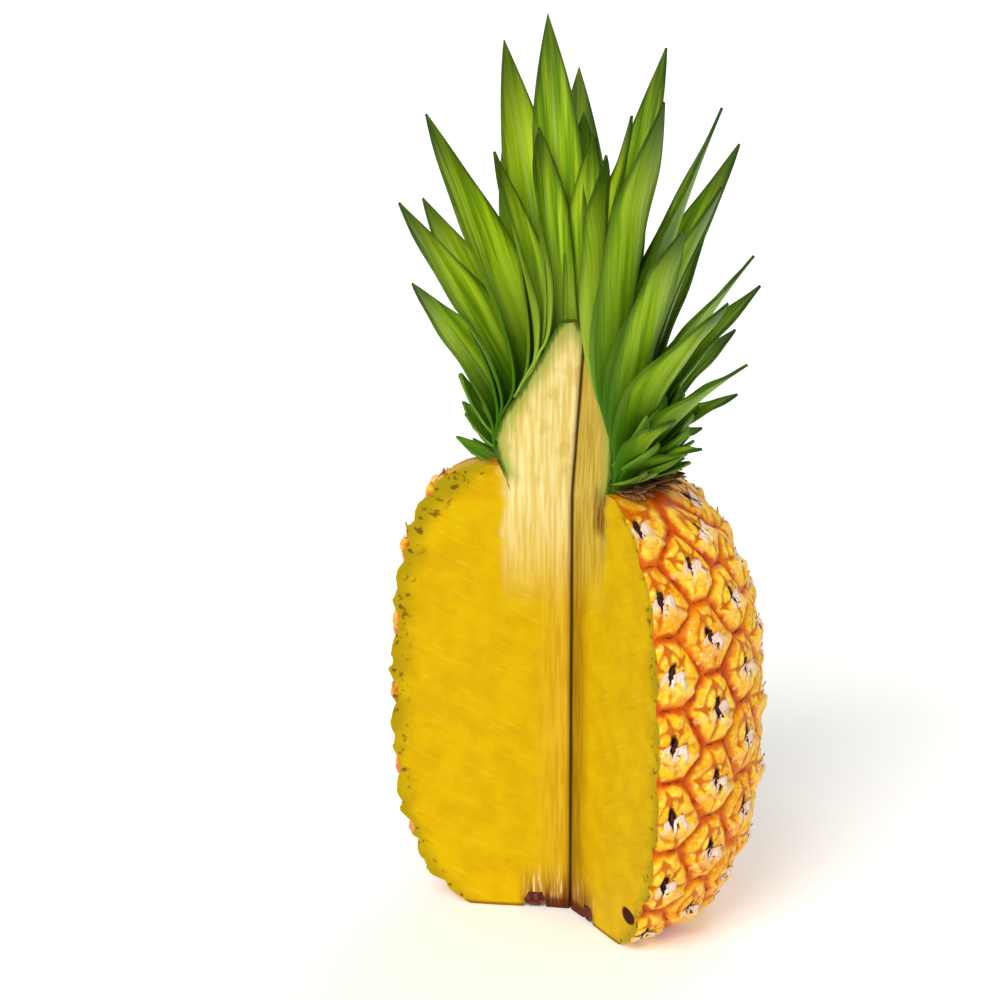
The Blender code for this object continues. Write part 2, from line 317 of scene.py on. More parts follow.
eye_centres = find_eye_centres()
eye_across, eye_up, _ = barrel_frames(eye_centres)
nearest_eyes = make_finder(eye_centres)
eye_luck = np.random.default_rng(11).random((len(eye_centres), 4))


def read_rind(points):
    """The height of the rind at points on the barrel, and how much of each feature of an eye is there."""
    owner = np.empty(len(points), int)
    outness = np.empty(len(points))
    size = np.empty(len(points))
    for index, point in enumerate(points):
        (_, first, near), (_, _, far) = nearest_eyes.find_n(point, 2)
        owner[index] = first
        outness[index] = 2 * near / (near + far)
        size[index] = (near + far) / EYE_SPACING
    offset = points - eye_centres[owner]
    bearing = np.arctan2((offset * eye_up[owner]).sum(axis=1), (offset * eye_across[owner]).sum(axis=1))
    bearing += (eye_luck[owner, 2] - 0.5) * EYE_TWIST
    side, rise = outness * np.cos(bearing), outness * np.sin(bearing)
    shape = {"outness": outness, "side": side, "rise": rise}
    shape |= {"luck": eye_luck[owner, 0], "luck_two": eye_luck[owner, 1]}
    lumps = roughness_at(points, LUMP_SIZE)
    # The lower half of an eye is a fleshy bract with a lip across the middle, the upper half three sepals.
    past_lip = -0.05 - 0.35 * side**2 - rise + 0.05 * lumps
    shape["bract"] = smooth_rise(past_lip / 0.12) * (1 - smooth_rise((past_lip - 0.10) / 0.70))
    seams = np.zeros(len(points))
    for number, angle in enumerate(SEAM_ANGLES):
        angle = angle + 0.5 * (eye_luck[owner, number % 4] - 0.5)
        off_seam = outness * np.sin(bearing - angle)
        strength = 0.6 + 0.4 * eye_luck[owner, 3 - number % 4]
        seams += strength * np.exp(-((off_seam / 0.085) ** 2)) * (np.cos(bearing - angle) > 0)
    seams *= smooth_rise((outness - 0.20) / 0.15) * (1 - smooth_rise((outness - 0.78) / 0.20))
    collar = 0.57 + 0.09 * lumps + 0.07 * np.sin(bearing * 2 + owner)
    collar = 0.8 * np.exp(-(((outness - collar) / 0.075) ** 2))
    collar *= smooth_rise(0.9 + np.sin(bearing + owner * 2.4))
    shape["seam"] = np.clip(seams + collar, 0, 1)
    pit = np.exp(-((side / 0.15) ** 2) - (((rise - 0.02) / 0.32) ** 2))
    wrinkles = np.sin(bearing * 17 + owner * 1.7) * smooth_rise((outness - 0.3) / 0.3) * (1 - outness)
    height = PAD_HEIGHT * (1 - outness**4.2) * np.clip(size, 0.4, 1.15)
    features = BRACT_HEIGHT * shape["bract"] - SEAM_DEPTH * shape["seam"] - PIT_DEPTH * pit
    height += features + WRINKLE_HEIGHT * wrinkles
    height += LUMP_HEIGHT * lumps + GRIT_HEIGHT * roughness_at(points, GRIT_SIZE)
    from_ends = np.minimum(points[:, 2], SHOULDER_HEIGHT - points[:, 2])
    return height * np.clip(from_ends / EYE_FADE, 0, 1), shape


bpy.ops.mesh.primitive_circle_add(vertices=BASE_RING_POINTS, radius=float(barrel_radius(0.0)))
body = bpy.context.object
body.name = "pineapple_body"
net = bmesh.new()
net.from_mesh(body.data)
for centre in eye_centres:
    net.verts.new(centre)
shoulder_radius = float(barrel_radius(SHOULDER_HEIGHT))
for step in range(SHOULDER_RING_POINTS):
    angle = step * math.tau / SHOULDER_RING_POINTS
    net.verts.new((shoulder_radius * math.cos(angle), shoulder_radius * math.sin(angle), SHOULDER_HEIGHT))
net.to_mesh(body.data)
net.free()
edit_all(bpy.ops.mesh.convex_hull, join_triangles=False)
for cap_height in (0.0, SHOULDER_HEIGHT):
    select_faces(body.data, lambda c, n: abs(c.z - cap_height) < 1e-5 and abs(n.z) > 0.999)
    bpy.ops.mesh.dissolve_faces()
edit_all(bpy.ops.mesh.subdivide, number_cuts=EYE_CUTS)

on_barrel = bring_to_barrel(read_points(body.data))
relief, eye_shape = read_rind(on_barrel)
rind_points = set_askew(on_barrel + barrel_frames(on_barrel)[2] * relief[:, None])
write_points(body.data, rind_points)
select_faces(body.data, lambda c, n: c.z < 1e-5 and n.z < -0.999)
rim = float(barrel_radius(0.0)) - GROOVE_OUTER_RADIUS
stub = GROOVE_INNER_RADIUS / 4
# The underside goes in by rings: level, down into the groove, over its floor, up, and over the stub.
for inset, drop in (
    *[(rim / 8, 0.0)] * 8,
    (0.0007, -GROOVE_DEPTH * 0.5),
    (0.0010, -GROOVE_DEPTH * 0.5),
    (0.0044, 0.0),
    (0.0008, GROOVE_DEPTH * 0.5),
    (0.0004, GROOVE_DEPTH * 0.5),
    *[(stub, 0.0)] * 3,
):
    bpy.ops.mesh.inset(thickness=inset, depth=drop)
bpy.ops.object.mode_set(mode="OBJECT")

# Rind: living plant skin under a thin coat of wax, satin to the eye. It is golden where it swells and orange
# in the grooves, with pale dry flecks on the bracts, brown seams and a dark slit in each pit.
rind, tree = make_material(
    "waxy_pineapple_rind",
    {"Roughness": 0.44, "Specular IOR Level": 0.13, "Coat Weight": 0.02, "Coat Roughness": 0.25},
)
value = {
    name: add_node(tree, "Attribute", output="Fac", attribute_name=name)
    for name in ("outness", "side", "rise", "bract", "seam", "luck", "luck_two")
}
place = add_node(tree, "TexCoord", output="Object")
height = add_node(tree, "SeparateXYZ", {0: place}, 2)
# Patches are 9 mm, blotches 4 mm, the mottling 1.6 mm and specks 1 mm.
patch = add_node(tree, "TexNoise", {"Vector": place, "Scale": 110.0, "Detail": 2.0})
blotch = add_node(tree, "TexNoise", {"Vector": place, "Scale": 260.0, "Detail": 4.0})
fine = add_node(tree, "TexNoise", {"Vector": place, "Scale": 620.0, "Detail": 4.0, "Distortion": 0.6})
speck = add_node(tree, "TexNoise", {"Vector": place, "Scale": 900.0, "Detail": 3.0})
shifted = add_node(tree, "Math", {0: value["outness"], 1: -0.17}, operation="ADD")
warped = add_node(tree, "Math", {0: blotch, 1: 0.34, 2: shifted}, operation="MULTIPLY_ADD")
ashen = add_node(tree, "Math", {0: value["bract"], 1: speck}, operation="MULTIPLY")
outer_patch = add_node(tree, "Math", {0: value["outness"], 1: patch}, operation="MULTIPLY")
groove = lay_colours(tree, "#DE7400", (value["luck_two"], 0.0, 1.0, 1.0, "#CE4E00"))
# The pit is a slit, more than twice as high as it is wide, with ragged edges.
squeezed = add_node(tree, "MapRange", {0: value["rise"], 1: 0.03, 2: 1.03, 4: 0.40}, clamp=False)
slit = add_node(tree, "CombineXYZ", {0: value["side"], 1: squeezed})
slit = add_node(tree, "VectorMath", {0: slit}, "Value", operation="LENGTH")
slit = add_node(tree, "Math", {0: fine, 1: 0.09, 2: slit}, operation="MULTIPLY_ADD")
skin = lay_colours(
    tree,
    "#F8A408",
    (value["luck"], 0.0, 1.0, 1.0, "#FFC618"),
    (patch, 0.46, 0.62, 0.75, "#FFD636"),
    (blotch, 0.50, 0.66, 0.7, "#FFDE4E"),
    (fine, 0.54, 0.68, 0.6, "#FFEC86"),
    (fine, 0.46, 0.34, 0.6, "#EC8404"),
    (outer_patch, 0.45, 0.56, 0.6, "#EC5A04"),
    (warped, 0.79, 0.96, 1.0, groove),
    (warped, 0.96, 1.06, 0.8, "#8E3000"),
    (value["seam"], 0.25, 0.90, 0.9, "#C85A00"),
    (ashen, 0.28, 0.56, 0.6, "#F8CE88"),
    (speck, 0.66, 0.72, 0.6, "#8A3A12"),
    (height, 0.1415, 0.1450, 0.4, "#A8661E"),
    (slit, 0.235, 0.180, 0.8, "#963E08"),
    (slit, 0.195, 0.160, 1.0, "#2A0C08"),
)
finish_surface(tree, skin, fine, 0.4, 0.0007)
body.data.materials.append(rind)

# The cut: a kitchen knife took out a wedge down to the core, and ran on a little past the corner of its two
# faces. The crown's heart stands in a shallow round seat, which is taken out of the fruit in the same way.
SLIT_DEPTH = 0.0045
SLIT_HALF_WIDTH = 0.0005
CUT_SPACING = 0.0015
CUT_REACH = 0.075
CUT_WAVES = ((0.00045, 0.016), (0.00016, 0.0045))
SEAT_HEIGHT = 0.1390
SEAT_RADIUS = 0.0202
SEAT_FLARE = 0.36
CROWN_LEAN = math.radians(-2.7)


def lean_from_seat(lean):
    """The place of something that stands on the seat's floor and leans to one side."""
    return Matrix.Translation((0, 0, SEAT_HEIGHT)) @ Matrix.Rotation(lean, 4, "Y")


CROWN_PLACE = lean_from_seat(CROWN_LEAN)


def select_only(*pieces):
    bpy.ops.object.select_all(action="DESELECT")
    for piece in pieces:
        piece.select_set(True)
    bpy.context.view_layer.objects.active = pieces[0]


def draw_up(rise, times):
    """Draws a flat face up into a closed solid of many rings, with its faces pointing out."""
    bpy.ops.object.mode_set(mode="EDIT")
    bpy.ops.mesh.select_all(action="SELECT")
    for _ in range(times):
        bpy.ops.mesh.extrude_region_move(TRANSFORM_OT_translate={"value": (0, 0, rise)})
    edit_all(bpy.ops.mesh.normals_make_consistent, inside=False)


def make_knife_cut(low, high, lean):
    """The space that the knife opened, as a closed body with two slightly uneven faces and a narrow slit."""
    angles = (CUT_MIDDLE, RIGHT_FACE_ANGLE, LEFT_FACE_ANGLE)
    forward, right, left = (Vector((math.cos(angle), math.sin(angle), 0)) for angle in angles)
    sideways = Vector((-forward.y, forward.x, 0))
    apex = forward * APEX_OFFSET
    mouth = SLIT_HALF_WIDTH / math.sin(CUT_OPENING / 2)
    outline = [apex - forward * SLIT_DEPTH + sideways * SLIT_HALF_WIDTH]
    along = np.arange(mouth, CUT_REACH, CUT_SPACING)
    outline += [apex + right * float(a) for a in along]
    outline += [apex + forward * CUT_REACH * 2]
    outline += [apex + left * float(a) for a in along[::-1]]
    outline += [apex - forward * SLIT_DEPTH - sideways * SLIT_HALF_WIDTH]
    bpy.ops.mesh.primitive_circle_add(vertices=len(outline), radius=1, fill_type="NGON")
    cut = bpy.context.object
    write_points(cut.data, np.array([[p.x, p.y, low] for p in outline]))
    draw_up(CUT_SPACING, round((high - low) / CUT_SPACING))
    points = read_points(cut.data)
    from_apex = points[:, :2] - np.array(apex[:2])
    reach = level_reach(from_apex)
    # The faces are even at their corner and wavy from 7 mm off it.
    for normal in face_normals_of_cut():
        on_face = (np.abs(from_apex @ normal) < 1e-6) & (reach > mouth * 1.5)
        wave = sum(height * roughness_at(points[on_face], length) for height, length in CUT_WAVES)
        points[on_face, :2] += normal * (wave * np.clip(reach[on_face] / 0.006 - 0.2, 0, 1))[:, None]
    write_points(cut.data, points)
    cut.data.transform(lean_from_seat(lean) @ Matrix.Translation((0, 0, -SEAT_HEIGHT)))
    return cut


def take_out(piece, cutter):
    """Takes the cutter's shape out of a piece. The new faces get the cutter's material."""
    step = piece.modifiers.new("cut", "BOOLEAN")
    step.operation = "DIFFERENCE"
    step.object = cutter
    step.solver = "EXACT"
    step.material_mode = "TRANSFER"
    select_only(piece)
    bpy.ops.object.modifier_apply(modifier=step.name)


# Flesh: moist, fibrous fruit flesh, cut with a knife, soft and nearly matt, with a little light in it. Pale
# fibres run from the woody core to the eyes, and the flesh next to the rind is olive with brown flecks. The
# core and the stem are painted darker and tan on the right face as painted shade, and the knife's slit is
# painted dark brown as painted shade. A bruise lies low on the right face, and a brown streak at its top.
BRUISE = (0.0163, -0.0366, 0.0122)
STREAK_RADIUS = 0.0195
STREAK_HEIGHT = 0.1385
FACE_BLUR = 0.0006
flesh, tree = make_material(
    "cut_pineapple_flesh",
    {
        "Roughness": 0.5,
        "Specular IOR Level": 0.05,
        "Subsurface Weight": 0.08,
        "Subsurface Radius": (1.0, 0.6, 0.15),
        "Subsurface Scale": 0.003,
    },
)


def cut_stem_colour(tree, place, height, right_face):
    """The stem cut lengthwise: strands 1 mm wide, cream on the left face, and painted darker and tan on the
    right one as painted shade, with a brown streak where the crown grew out of the fruit at the right."""
    stretched = add_node(tree, "VectorMath", {0: place, 1: (900.0, 900.0, 60.0)}, operation="MULTIPLY")
    strand = add_node(tree, "TexNoise", {"Vector": stretched, "Scale": 1.0, "Detail": 3.0})
    cream = lay_colours(tree, "#DABE62", (strand, 0.32, 0.68, 1.0, "#F2DE98"))
    # The tan copy is painted shade: the same strands made darker, for the right face.
    tan = lay_colours(tree, "#B4922A", (strand, 0.32, 0.68, 1.0, "#D2B650"))
    brown = lay_colours(tree, "#5E3208", (strand, 0.42, 0.64, 1.0, "#A07A28"))
    flat = add_node(tree, "VectorMath", {0: place, 1: (1.0, 1.0, 0.0)}, operation="MULTIPLY")
    from_axis = add_node(tree, "VectorMath", {0: flat}, 1, operation="LENGTH")
    beside = add_node(tree, "Math", {0: from_axis, 1: STREAK_RADIUS}, operation="SUBTRACT")
    beside = add_node(tree, "Math", {0: beside}, operation="ABSOLUTE")
    beyond = add_node(tree, "Math", {0: height, 1: STREAK_HEIGHT}, operation="SUBTRACT")
    beyond = add_node(tree, "Math", {0: beyond}, operation="ABSOLUTE")
    streaked = lay_colours(tree, tan, (beside, 0.0060, 0.0022, 0.9, brown))
    tan = lay_colours(tree, tan, (beyond, 0.0100, 0.0050, 1.0, streaked))
    return lay_colours(tree, cream, (right_face, 0.0, 1.0, 1.0, tan)), strand


value = {
    name: add_node(tree, "Attribute", output="Fac", attribute_name=name)
    for name in ("from_core", "under_rind", "slit_shade", "right_face")
}
place = add_node(tree, "TexCoord", output="Object")
height = add_node(tree, "SeparateXYZ", {0: place}, 2)
stem, strand = cut_stem_colour(tree, place, height, value["right_face"])
# Fibres 1.5 mm apart and 10 mm long rise as they run out to the eyes. Clouds are 8 mm and flecks 2 mm.
fibre_rise = add_node(tree, "Math", {0: value["from_core"], 1: -0.45, 2: height}, operation="MULTIPLY_ADD")
fibre_run = add_node(tree, "Math", {0: value["from_core"], 1: 0.16}, operation="MULTIPLY")
along_fibre = add_node(tree, "CombineXYZ", {0: fibre_run, 1: fibre_rise})
fibre = add_node(tree, "TexNoise", {"Vector": along_fibre, "Scale": 640.0, "Detail": 5.0})
cloud = add_node(tree, "TexNoise", {"Vector": place, "Scale": 130.0, "Detail": 4.0})
flecks = add_node(tree, "TexNoise", {"Vector": place, "Scale": 420.0, "Detail": 2.0})
near_rind = add_node(tree, "Math", {0: cloud, 1: 0.008, 2: value["under_rind"]}, operation="MULTIPLY_ADD")
juicy = lay_colours(
    tree,
    "#D0A400",
    (cloud, 0.35, 0.65, 1.0, "#D8B000"),
    (fibre, 0.54, 0.78, 0.28, "#EFD038"),
    (fibre, 0.46, 0.28, 0.22, "#B88E00"),
    (near_rind, 0.0125, 0.0040, 0.8, "#9C8A06"),
)
core = lay_colours(tree, "#CA9C10", (strand, 0.35, 0.65, 1.0, "#DDB228"))
# The darker tan copy of the core is painted shade, for the right face.
shaded_core = lay_colours(tree, "#8E6404", (strand, 0.35, 0.65, 1.0, "#B0840C"))
core = lay_colours(tree, core, (value["right_face"], 0.0, 1.0, 1.0, shaded_core))
juicy = lay_colours(tree, juicy, (value["from_core"], 0.0150, 0.0050, 0.9, core))
# What shows only in two places at once is laid on a copy of the colours, and the copy is laid over them.
freckled = lay_colours(tree, juicy, (flecks, 0.57, 0.66, 0.85, "#6A4410"))
off_bruise = add_node(tree, "VectorMath", {0: place, 1: BRUISE}, operation="SUBTRACT")
off_bruise = add_node(tree, "VectorMath", {0: off_bruise, 1: (1.0, 1.0, 1.8)}, operation="MULTIPLY")
from_bruise = add_node(tree, "VectorMath", {0: off_bruise}, 1, operation="LENGTH")
from_bruise = add_node(tree, "Math", {0: cloud, 1: 0.006, 2: from_bruise}, operation="MULTIPLY_ADD")
juicy = lay_colours(tree, juicy, (value["under_rind"], 0.0078, 0.0035, 1.0, freckled))
woody_end = lay_colours(
    tree,
    "#74440A",
    (strand, 0.34, 0.58, 1.0, "#B0802E"),
    (strand, 0.58, 0.68, 1.0, "#F0D6AA"),
    (height, 0.0050, 0.0022, 0.9, "#561C08"),
)
stubbed = lay_colours(tree, juicy, (value["from_core"], 0.019, 0.014, 1.0, woody_end))
juicy = lay_colours(tree, juicy, (height, 0.016, 0.003, 1.0, stubbed))
stem_reach = add_node(tree, "Math", {0: cloud, 1: 0.008, 2: value["from_core"]}, operation="MULTIPLY_ADD")
rooted = lay_colours(tree, juicy, (stem_reach, 0.0290, 0.0250, 1.0, stem))
juicy = lay_colours(
    tree,
    juicy,
    (height, 0.134, 0.144, 0.6, "#A48E10"),
    (height, 0.098, 0.140, 1.0, rooted),
    (from_bruise, 0.0078, 0.0066, 1.0, "#3A0804"),
    (height, 0.0014, 0.0004, 0.7, "#5E2208"),
    # Painted shade: the knife's slit past the corner of the two faces is painted dark brown.
    (value["slit_shade"], 0.0, 1.0, 1.0, "#5A3004"),
)
ridges = add_node(tree, "Math", {0: flecks, 1: 0.5, 2: fibre}, operation="MULTIPLY_ADD")
finish_surface(tree, juicy, ridges, 0.2, 0.0006)

knife_cut = make_knife_cut(-0.015, 0.165, 0.0)
knife_cut.data.materials.append(flesh)
take_out(body, knife_cut)
seat_depth = SHOULDER_HEIGHT + 0.01 - SEAT_HEIGHT
bpy.ops.mesh.primitive_cone_add(
    vertices=96, radius1=SEAT_RADIUS, radius2=SEAT_RADIUS + SEAT_FLARE * seat_depth, depth=seat_depth
)
seat = bpy.context.object
seat.data.transform(CROWN_PLACE @ Matrix.Translation((0, 0, seat_depth / 2)))
seat.data.materials.append(flesh)
take_out(body, seat)
bpy.data.objects.remove(seat)

points = read_points(body.data)
finder = make_finder(rind_points)
found = np.array([finder.find(p)[1] for p in points])
write_values(body.data, **{name: numbers[found] for name, numbers in eye_shape.items()})


def cut_face_values(points):
    """How much each point is in the slit past the corner, and on the right face rather than the left. Both
    masks lay painted shade.
    """
    before_apex = points[:, 0] * math.cos(CUT_MIDDLE) + points[:, 1] * math.sin(CUT_MIDDLE) - APEX_OFFSET
    beside_apex = points[:, 1] * math.cos(CUT_MIDDLE) - points[:, 0] * math.sin(CUT_MIDDLE)
    near_axis = level_reach(points) < SLIT_DEPTH + 0.0015
    return {
        "slit_shade": smooth_rise((FACE_BLUR - before_apex) / FACE_BLUR) * near_axis,
        "right_face": smooth_rise(0.5 + beside_apex / FACE_BLUR),
    }


radius = level_reach(points)
under_rind = barrel_radius(np.clip(points[:, 2], 0, SHOULDER_HEIGHT)) + PAD_HEIGHT - radius
write_values(body.data, from_core=radius, under_rind=under_rind, **cut_face_values(points))

# Stem scar: dried, corky plant tissue in the groove round the stub of the stalk, dark red-brown and matt.
scar, tree = make_material("dried_stem_scar", {"Roughness": 0.8, "Specular IOR Level": 0.3})
place = add_node(tree, "TexCoord", output="Object")
# The crumbled tissue has grains of 1.4 mm.
grain = add_node(tree, "TexNoise", {"Vector": place, "Scale": 700.0, "Detail": 4.0})
cork = lay_colours(tree, "#4A0A10", (grain, 0.35, 0.65, 1.0, "#7A3A20"))
finish_surface(tree, cork, grain, 0.6, 0.001)
body.data.materials.append(scar)
scar_slot = len(body.data.materials) - 1
for face in body.data.polygons:
    in_groove = math.hypot(face.center.x, face.center.y) < GROOVE_OUTER_RADIUS + GROOVE_MARGIN
    if face.material_index == 0 and in_groove and face.center.z < GROOVE_DEPTH + GROOVE_MARGIN:
        face.material_index = scar_slot
select_only(body)
bpy.ops.object.shade_smooth_by_angle(angle=math.radians(52))
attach(body, "root")
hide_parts("fruit")


# Eye bracts: the dry, papery tip of its bract covers each eye from below, a thin scale that curls away from
# the rind, with a small torn flap beside it. Both are shaped once, laid on every eye and cut by the knife.
BRACT_LENGTH = 0.0082
BRACT_HALF_WIDTH = 0.0027
BRACT_THICKNESS = 0.00022
BRACT_CURL = 0.0013
BRACT_RIPPLE = 0.00015
BRACT_GAP = 0.00005
KEPT_PAST_CUT = -0.004


def lay_on_rind(spots, eye):
    """Puts points on an eye, given in metres along the ground, up the side and off the rind."""
    sides, rises, heights = spots.T
    turn = (eye_luck[eye, 3] - 0.5) * EYE_TWIST
    cosine, sine = math.cos(turn), math.sin(turn)
    sides, rises = sides * cosine - rises * sine, sides * sine + rises * cosine
    laid = eye_centres[eye] + np.outer(sides, eye_across[eye]) + np.outer(rises, eye_up[eye])
    laid = bring_to_barrel(laid)
    return set_askew(laid + barrel_frames(laid)[2] * (read_rind(laid)[0] + heights)[:, None])


def copy_piece(pattern):
    """A copy of a piece, with a mesh of its own."""
    copied = bpy.data.objects.new(pattern.name, pattern.data.copy())
    scene.collection.objects.link(copied)
    return copied


def join_pieces(pieces, name):
    select_only(*pieces)
    bpy.ops.object.join()
    pieces[0].name = name
    return pieces[0]


def copy_to_eyes(pattern, name):
    """Copies a small piece to every eye of the kept fruit, joins the copies and cuts them with the knife."""
    spots = read_points(pattern.data)
    copies = []
    for eye in np.flatnonzero(inside_fruit(eye_centres) > KEPT_PAST_CUT):
        scale = 0.85 + 0.3 * eye_luck[eye, 1]
        laid = copy_piece(pattern)
        write_points(laid.data, lay_on_rind(spots * scale, eye))
        write_values(laid.data, luck=eye_luck[eye, 0])
        copies.append(laid)
    bpy.data.objects.remove(pattern)
    joined = join_pieces(copies, name)
    take_out(joined, knife_cut)
    joined.data.shade_smooth()
    return joined


def give_thickness(sheet, thickness, offset):
    """Closes the tip of a thin sheet and makes it a solid. Returns how many points the sheet had."""
    edit_all(bpy.ops.mesh.remove_doubles, threshold=0.00002)
    count = len(sheet.data.vertices)
    shell = sheet.modifiers.new("thickness", "SOLIDIFY")
    shell.thickness = thickness
    shell.offset = offset
    bpy.ops.object.modifier_apply(modifier=shell.name)
    return count


def make_flap(length, half_width, foot, tip):
    """A thin scale from a grid, from its foot to its tip, both given as places across and up the eye."""
    bpy.ops.object.select_all(action="DESELECT")
    bpy.ops.mesh.primitive_grid_add(x_subdivisions=4, y_subdivisions=6, size=2)
    flap = bpy.context.object
    spots = read_points(flap.data)
    across, along = spots[:, 0], (spots[:, 1] + 1) / 2
    width = half_width * (1 - along**2.2) * (0.75 + 0.5 * along)
    lift = BRACT_CURL * (along**2 - 0.3 * (1 - across**2) * np.sin(math.pi * along))
    lift += BRACT_RIPPLE * np.sin(11 * along + 3 * across)
    sides, rises = (np.outer(1 - along, foot) + np.outer(along, tip)).T
    heights = BRACT_GAP + lift * length / BRACT_LENGTH
    write_points(flap.data, np.column_stack([sides + across * width, rises, heights]))
    write_values(flap.data, along=along, across=across)
    give_thickness(flap, BRACT_THICKNESS, -1)
    return flap


bract = make_flap(BRACT_LENGTH, BRACT_HALF_WIDTH, (0.0014, -0.0060), (0.0024, 0.0022))
small_flap = make_flap(BRACT_LENGTH * 0.7, BRACT_HALF_WIDTH * 0.5, (-0.0026, -0.0042), (-0.0020, 0.0012))
bract = join_pieces((bract, small_flap), "bract")

# Papery bract: dry, dead leaf tissue, matt, pinkish cream, golden at its foot and brown at its tip.
papery, tree = make_material("papery_bract", {"Roughness": 0.6, "Specular IOR Level": 0.3})
value = {
    name: add_node(tree, "Attribute", output="Fac", attribute_name=name)
    for name in ("along", "across", "luck")
}
# Fibres 0.25 mm apart run along a bract, 22 side by side.
side_by_side = add_node(tree, "Math", {0: value["across"], 1: 7.0}, operation="MULTIPLY")
lengthwise = add_node(tree, "CombineXYZ", {0: side_by_side, 1: value["along"], 2: value["luck"]})
strand = add_node(tree, "TexNoise", {"Vector": lengthwise, "Scale": 1.6, "Detail": 3.0})
dry = lay_colours(
    tree,
    "#DDA078",
    (strand, 0.36, 0.58, 1.0, "#FFEEE0"),
    (value["along"], 0.50, 0.10, 0.9, "#F8B440"),
    (value["along"], 0.88, 1.0, 0.85, "#5A2A14"),
)
finish_surface(tree, dry, strand, 0.3, 0.0003)
bract.data.materials.append(papery)
bracts = copy_to_eyes(bract, "eye_bracts")
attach(bracts, "root")


# Dried flowers: the withered, brittle remains of one flower stand in the pit of each eye. One is shaped as a
# small bent spindle and laid on every eye, as the bracts are.
FLOWER_LENGTH = 0.0050
FLOWER_HALF_WIDTH = 0.0007

bpy.ops.object.select_all(action="DESELECT")
bpy.ops.mesh.primitive_cylinder_add(
    vertices=6, radius=FLOWER_HALF_WIDTH, depth=FLOWER_LENGTH, rotation=(math.pi / 2, 0, 0)
)
flower = bpy.context.object
bpy.ops.object.transform_apply(location=False, rotation=True, scale=False)
edit_all(bpy.ops.mesh.subdivide, number_cuts=1)
spots = read_points(flower.data)
along = spots[:, 1] / FLOWER_LENGTH
spots[:, [0, 2]] *= (1 - 1.6 * np.abs(along) ** 1.5)[:, None]
spots[:, 0] += 0.0005 * np.sin(7 * along)
spots[:, 2] = spots[:, 2] * 0.8 + 0.0004 + 0.0005 * along
write_points(flower.data, spots)

# Dried flower: withered petals, matt and almost black.
withered, tree = make_material("withered_flower", {"Roughness": 0.75, "Specular IOR Level": 0.3})
place = add_node(tree, "TexCoord", output="Object")
# Its crumpled petals have creases 0.7 mm apart.
crease = add_node(tree, "TexNoise", {"Vector": place, "Scale": 1500.0, "Detail": 2.0})
brown = lay_colours(tree, "#2A0A08", (crease, 0.45, 0.65, 1.0, "#5E2E1A"))
finish_surface(tree, brown, crease, 0.4, 0.0003)
flower.data.materials.append(withered)
flowers = copy_to_eyes(flower, "dried_flowers")
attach(flowers, "root")


# Crown heart: the stub of stem inside the crown with the leaf bases grown round it, cut through by the same
# knife. It is pale, woody and streaked lengthwise, and turns green towards the leaves.
HEART_PROFILE = (
    (0.1393, 0.0204),
    (0.1450, 0.0226),
    (0.1510, 0.0242),
    (0.1570, 0.0246),
    (0.1630, 0.0228),
    (0.1700, 0.0180),
    (0.1780, 0.0124),
    (0.1860, 0.0077),
    (0.1940, 0.0032),
)
HEART_STEPS = 96
HEART_RINGS = 36
HEART_CLEARANCE = 0.0002
LEAF_BASE_RELIEF = 0.0004
CUT_LEAN_IN_CROWN = math.radians(4)


def heart_radius(height):
    return np.interp(height, [z for z, r in HEART_PROFILE], [r for z, r in HEART_PROFILE])


heart_low, heart_high = SEAT_HEIGHT - 0.0001, HEART_PROFILE[-1][0]
bpy.ops.object.select_all(action="DESELECT")
bpy.ops.mesh.primitive_circle_add(vertices=HEART_STEPS, location=(0, 0, heart_low), fill_type="NGON")
heart = bpy.context.object
heart.name = "crown_heart_cut"
bpy.ops.object.transform_apply(location=True, rotation=False, scale=False)
draw_up((heart_high - heart_low) / HEART_RINGS, HEART_RINGS)
points = read_points(heart.data)
angles = np.arctan2(points[:, 1], points[:, 0])
leaf_bases = LEAF_BASE_RELIEF * np.sin(angles * 13 + points[:, 2] * 900)
leaf_bases *= points[:, 2] < heart_high - 0.002
points[:, :2] *= (heart_radius(points[:, 2]) - HEART_CLEARANCE + leaf_bases)[:, None]
write_points(heart.data, points)
heart.data.transform(CROWN_PLACE @ Matrix.Translation((0, 0, -SEAT_HEIGHT)))

# Heart tissue: moist, woody stem cut across its leaf bases, satin, cream inside and green next to the leaves.
# On the right face it is painted darker and tan as painted shade, and the knife's slit is painted dark as
# shade.
woody, tree = make_material("cut_crown_heart", {"Roughness": 0.46, "Specular IOR Level": 0.2})
value = {
    name: add_node(tree, "Attribute", output="Fac", attribute_name=name)
    for name in ("inside", "slit_shade", "right_face")
}
place = add_node(tree, "TexCoord", output="Object")
height = add_node(tree, "SeparateXYZ", {0: place}, 2)
stem, strand = cut_stem_colour(tree, place, height, value["right_face"])
# Clouds of 7 mm darken the tissue, and the green edge is about 5 mm deep.
cloud = add_node(tree, "TexNoise", {"Vector": place, "Scale": 150.0, "Detail": 2.0})
edge = add_node(tree, "Math", {0: strand, 1: 0.003, 2: value["inside"]}, operation="MULTIPLY_ADD")
pale = lay_colours(
    tree,
    stem,
    (cloud, 0.5, 0.7, 0.45, "#C9A548"),
    (edge, 0.0090, 0.0032, 0.85, "#9CA236"),
    (edge, 0.0036, 0.0020, 1.0, "#47640F"),
    (height, 0.1460, 0.1395, 1.0, stem),
    # Painted shade: the knife's slit is painted dark brown.
    (value["slit_shade"], 0.0, 1.0, 1.0, "#6E4410"),
)
finish_surface(tree, pale, strand, 0.3, 0.0005)
heart.data.materials.append(woody)
crown_cut = make_knife_cut(0.125, 0.215, CUT_LEAN_IN_CROWN)
crown_cut.data.materials.append(woody)
take_out(heart, crown_cut)
